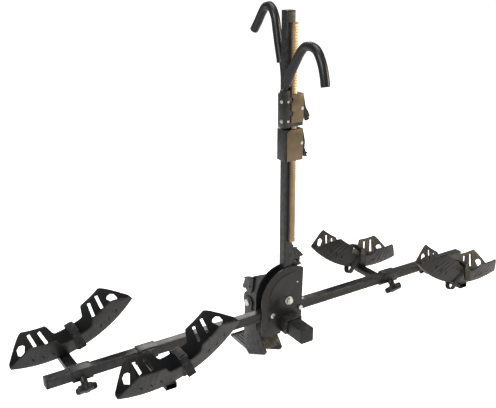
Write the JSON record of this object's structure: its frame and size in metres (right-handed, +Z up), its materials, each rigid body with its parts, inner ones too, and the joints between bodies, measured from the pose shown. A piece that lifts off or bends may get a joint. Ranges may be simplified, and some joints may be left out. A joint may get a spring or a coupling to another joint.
{
  "type": "hitch mounted bike rack",
  "caption": "Two-bike platform rack: square crossbar on a tilting hitch bracket, folding mast with sliding hooks, and sliding curved wheel trays with straps.",
  "frame": {"origin": "on the tongue's centreline where the hitch pin's axis crosses it", "axes": "+X along the crossbar, +Z up, -Y out of the tongue's free end"},
  "size_m": [1.747, 0.5422, 1.2691],
  "materials": {
    "black_steel": "satin black powder coat",
    "black_plastic": "matt moulded black",
    "tray_plastic": "satin moulded black",
    "hook_rubber": "smooth black rubber",
    "strap_rubber": "ribbed black rubber",
    "zinc_hardware": "bright zinc plate",
    "strip_steel": "black oxide"
  },
  "bodies": {
    "tongue": {"tongue_tube": "black_steel", "tongue_end_cap": "black_plastic", "tilt_pivot_bolt": "zinc_hardware"},
    "pedal": {"release_pedal": "black_steel"},
    "base": {"tilt_bracket": "black_steel", "front_plate": "black_steel", "rear_plate": "black_steel", "mast_pivot_bolt": "zinc_hardware", "mast_pivot_nut": "zinc_hardware", "plate_bolt_1": "zinc_hardware", "plate_bolt_2": "zinc_hardware", "crossbar": "black_steel", "bar_cap_left": "black_plastic", "bar_cap_right": "black_plastic"},
    "tilt_latch": {"tilt_latch_lever": "black_steel"},
    "mast": {"mast_tube": "black_steel", "mast_cap": "black_plastic", "ratchet_strip": "strip_steel", "mast_latch_clevis": "black_steel"},
    "mast_latch": {"mast_latch_lever": "black_steel"},
    "upper_hook_carriage": {"upper_carriage": "black_steel", "upper_cover": "black_steel", "upper_lever_pin": "zinc_hardware", "upper_hook": "black_steel", "upper_hook_sleeve": "hook_rubber"},
    "upper_release": {"upper_lever": "black_plastic"},
    "lower_hook_carriage": {"lower_carriage": "black_steel", "lower_cover": "black_steel", "lower_lever_pin": "zinc_hardware", "lower_hook": "black_steel", "lower_hook_sleeve": "hook_rubber"},
    "lower_release": {"lower_lever": "black_plastic"},
    "wheel_tray_rear_left": {"collar_rear_left": "black_steel", "arm_rear_left": "black_steel", "tray_rear_left": "tray_plastic", "strap_rear_left": "strap_rubber", "buckle_base_rear_left": "black_plastic"},
    "knob_turn_rear_left": {"knob_rear_left": "black_plastic"},
    "buckle_rear_left": {"buckle_lever_rear_left": "black_plastic"},
    "wheel_tray_front_left": {"collar_front_left": "black_steel", "arm_front_left": "black_steel", "tray_front_left": "tray_plastic", "strap_front_left": "strap_rubber", "buckle_base_front_left": "black_plastic"},
    "knob_turn_front_left": {"knob_front_left": "black_plastic"},
    "buckle_front_left": {"buckle_lever_front_left": "black_plastic"},
    "wheel_tray_rear_right": {"collar_rear_right": "black_steel", "arm_rear_right": "black_steel", "tray_rear_right": "tray_plastic", "strap_rear_right": "strap_rubber", "buckle_base_rear_right": "black_plastic"},
    "knob_turn_rear_right": {"knob_rear_right": "black_plastic"},
    "buckle_rear_right": {"buckle_lever_rear_right": "black_plastic"},
    "wheel_tray_front_right": {"collar_front_right": "black_steel", "arm_front_right": "black_steel", "tray_front_right": "tray_plastic", "strap_front_right": "strap_rubber", "buckle_base_front_right": "black_plastic"},
    "knob_turn_front_right": {"knob_front_right": "black_plastic"},
    "buckle_front_right": {"buckle_lever_front_right": "black_plastic"}
  },
  "joints": [
    {"name": "rack_tilt", "type": "hinge", "parent": "tongue", "child": "base", "pos_m": [0, 0.272, 0], "axis": [-1, 0, 0], "range_deg": [0, 30]},
    {"name": "pedal_press", "type": "hinge", "parent": "tongue", "child": "pedal", "pos_m": [0, 0.272, 0], "axis": [-1, 0, 0], "range_deg": [0, 12], "stiffness_Nm_per_rad": 3, "springref_deg": -5.73},
    {"name": "tilt_latch_lift", "type": "hinge", "parent": "base", "child": "tilt_latch", "pos_m": [-0.034, 0.26, 0.0655], "axis": [1, 0, 0], "range_deg": [0, 18], "stiffness_Nm_per_rad": 0.8, "springref_deg": -11.46},
    {"name": "mast_fold", "type": "hinge", "parent": "base", "child": "mast", "pos_m": [0, 0.092, 0.0845], "axis": [0, -1, 0], "range_deg": [0, 78]},
    {"name": "mast_latch_pull", "type": "hinge", "parent": "mast", "child": "mast_latch", "pos_m": [0.028, 0.092, 0.2495], "axis": [0, -1, 0], "range_deg": [0, 15], "stiffness_Nm_per_rad": 0.8, "springref_deg": -11.46},
    {"name": "upper_carriage_slide", "type": "slide", "parent": "mast", "child": "upper_hook_carriage", "axis": [0, 0, 1], "range_m": [-0.006, 0.19]},
    {"name": "upper_release_press", "type": "hinge", "parent": "upper_hook_carriage", "child": "upper_release", "pos_m": [0.03, 0.066, 0.7435], "axis": [0, -1, 0], "range_deg": [0, 12], "stiffness_Nm_per_rad": 0.5, "springref_deg": -11.46},
    {"name": "lower_carriage_slide", "type": "slide", "parent": "mast", "child": "lower_hook_carriage", "axis": [0, 0, 1], "range_m": [-0.265, 0.006]},
    {"name": "lower_release_press", "type": "hinge", "parent": "lower_hook_carriage", "child": "lower_release", "pos_m": [0.03, 0.066, 0.6335], "axis": [0, -1, 0], "range_deg": [0, 12], "stiffness_Nm_per_rad": 0.5, "springref_deg": -11.46},
    {"name": "slide_rear_left", "type": "slide", "parent": "base", "child": "wheel_tray_rear_left", "axis": [1, 0, 0], "range_m": [-0.07, 0.135]},
    {"name": "clamp_knob_rear_left", "type": "hinge", "parent": "wheel_tray_rear_left", "child": "knob_turn_rear_left", "pos_m": [-0.728, 0.056, 0.0115], "axis": [0, 0.7071, 0.7071], "range_deg": [-360, 0]},
    {"name": "buckle_lift_rear_left", "type": "hinge", "parent": "wheel_tray_rear_left", "child": "buckle_rear_left", "pos_m": [-0.69997, 0.21, 0.11659], "axis": [-0.9537, 0, -0.3007], "range_deg": [0, 75]},
    {"name": "slide_front_left", "type": "slide", "parent": "base", "child": "wheel_tray_front_left", "axis": [1, 0, 0], "range_m": [-0.135, 0.35]},
    {"name": "clamp_knob_front_left", "type": "hinge", "parent": "wheel_tray_front_left", "child": "knob_turn_front_left", "pos_m": [-0.518, 0.128, 0.0115], "axis": [0, -0.7071, 0.7071], "range_deg": [-360, 0]},
    {"name": "buckle_lift_front_left", "type": "hinge", "parent": "wheel_tray_front_left", "child": "buckle_front_left", "pos_m": [-0.48997, -0.102, 0.11659], "axis": [-0.9537, 0, -0.3007], "range_deg": [0, 75]},
    {"name": "slide_rear_right", "type": "slide", "parent": "base", "child": "wheel_tray_rear_right", "axis": [1, 0, 0], "range_m": [-0.23, 0.15]},
    {"name": "clamp_knob_rear_right", "type": "hinge", "parent": "wheel_tray_rear_right", "child": "knob_turn_rear_right", "pos_m": [0.466, 0.056, 0.0115], "axis": [0, 0.7071, 0.7071], "range_deg": [-360, 0]},
    {"name": "buckle_lift_rear_right", "type": "hinge", "parent": "wheel_tray_rear_right", "child": "buckle_rear_right", "pos_m": [0.43797, 0.21, 0.11659], "axis": [-0.9537, 0, 0.3007], "range_deg": [0, 75]},
    {"name": "slide_front_right", "type": "slide", "parent": "base", "child": "wheel_tray_front_right", "axis": [1, 0, 0], "range_m": [-0.15, 0.105]},
    {"name": "clamp_knob_front_right", "type": "hinge", "parent": "wheel_tray_front_right", "child": "knob_turn_front_right", "pos_m": [0.69, 0.128, 0.0115], "axis": [0, -0.7071, 0.7071], "range_deg": [-360, 0]},
    {"name": "buckle_lift_front_right", "type": "hinge", "parent": "wheel_tray_front_right", "child": "buckle_front_right", "pos_m": [0.66197, -0.102, 0.11659], "axis": [-0.9537, 0, 0.3007], "range_deg": [0, 75]}
  ]
}
